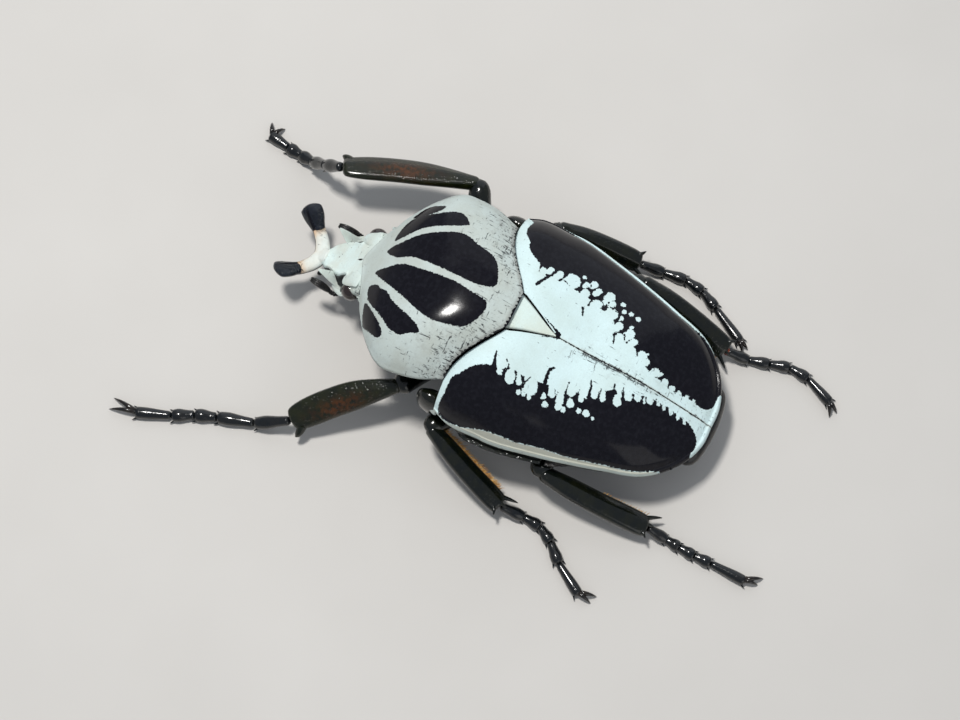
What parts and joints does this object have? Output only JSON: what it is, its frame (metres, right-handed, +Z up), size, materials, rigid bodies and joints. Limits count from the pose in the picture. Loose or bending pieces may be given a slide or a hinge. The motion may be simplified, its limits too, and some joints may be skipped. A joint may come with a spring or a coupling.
{
  "type": "goliath beetle model",
  "caption": "Life-size still model of a male goliath beetle standing on six legs, with a forked head horn, striped pronotum and patched wing cases.",
  "frame": {"origin": "under the middle of the beetle's box, on the floor that its feet stand on", "axes": "+Z up, +Y towards the tail, +X towards the beetle's left side"},
  "size_m": [0.0832, 0.145, 0.034],
  "materials": {
    "chalk_white_cuticle": "chalky bluish white cuticle with velvet black stripes",
    "black_cuticle": "semi-gloss black cuticle",
    "olive_leg_cuticle": "glossy black-olive cuticle",
    "eye_brown": "glossy dark red-brown compound eye"
  },
  "bodies": {
    "root": {"pronotum": "chalk_white_cuticle", "scutellum": "chalk_white_cuticle", "head": "chalk_white_cuticle", "horn": "chalk_white_cuticle", "elytron_left": "black_cuticle", "elytron_right": "black_cuticle", "pygidium": "black_cuticle", "antenna_left": "black_cuticle", "antenna_right": "black_cuticle", "thorax": "olive_leg_cuticle", "abdomen": "olive_leg_cuticle", "mesepimeron_left": "olive_leg_cuticle", "mesepimeron_right": "olive_leg_cuticle", "eye_left": "eye_brown", "eye_right": "eye_brown", "coxa_left_front": "olive_leg_cuticle", "coxa_right_front": "olive_leg_cuticle", "coxa_left_middle": "olive_leg_cuticle", "coxa_right_middle": "olive_leg_cuticle", "coxa_left_hind": "olive_leg_cuticle", "coxa_right_hind": "olive_leg_cuticle", "femur_left_front": "olive_leg_cuticle", "femur_right_front": "olive_leg_cuticle", "femur_left_middle": "olive_leg_cuticle", "femur_right_middle": "olive_leg_cuticle", "femur_left_hind": "olive_leg_cuticle", "femur_right_hind": "olive_leg_cuticle", "tibia_left_front": "olive_leg_cuticle", "tibia_right_front": "olive_leg_cuticle", "tibia_left_middle": "olive_leg_cuticle", "tibia_right_middle": "olive_leg_cuticle", "tibia_left_hind": "olive_leg_cuticle", "tibia_right_hind": "olive_leg_cuticle", "tarsus_left_front": "black_cuticle", "tarsus_right_front": "black_cuticle", "tarsus_left_middle": "black_cuticle", "tarsus_right_middle": "black_cuticle", "tarsus_left_hind": "black_cuticle", "tarsus_right_hind": "black_cuticle"}
  },
  "joints": []
}
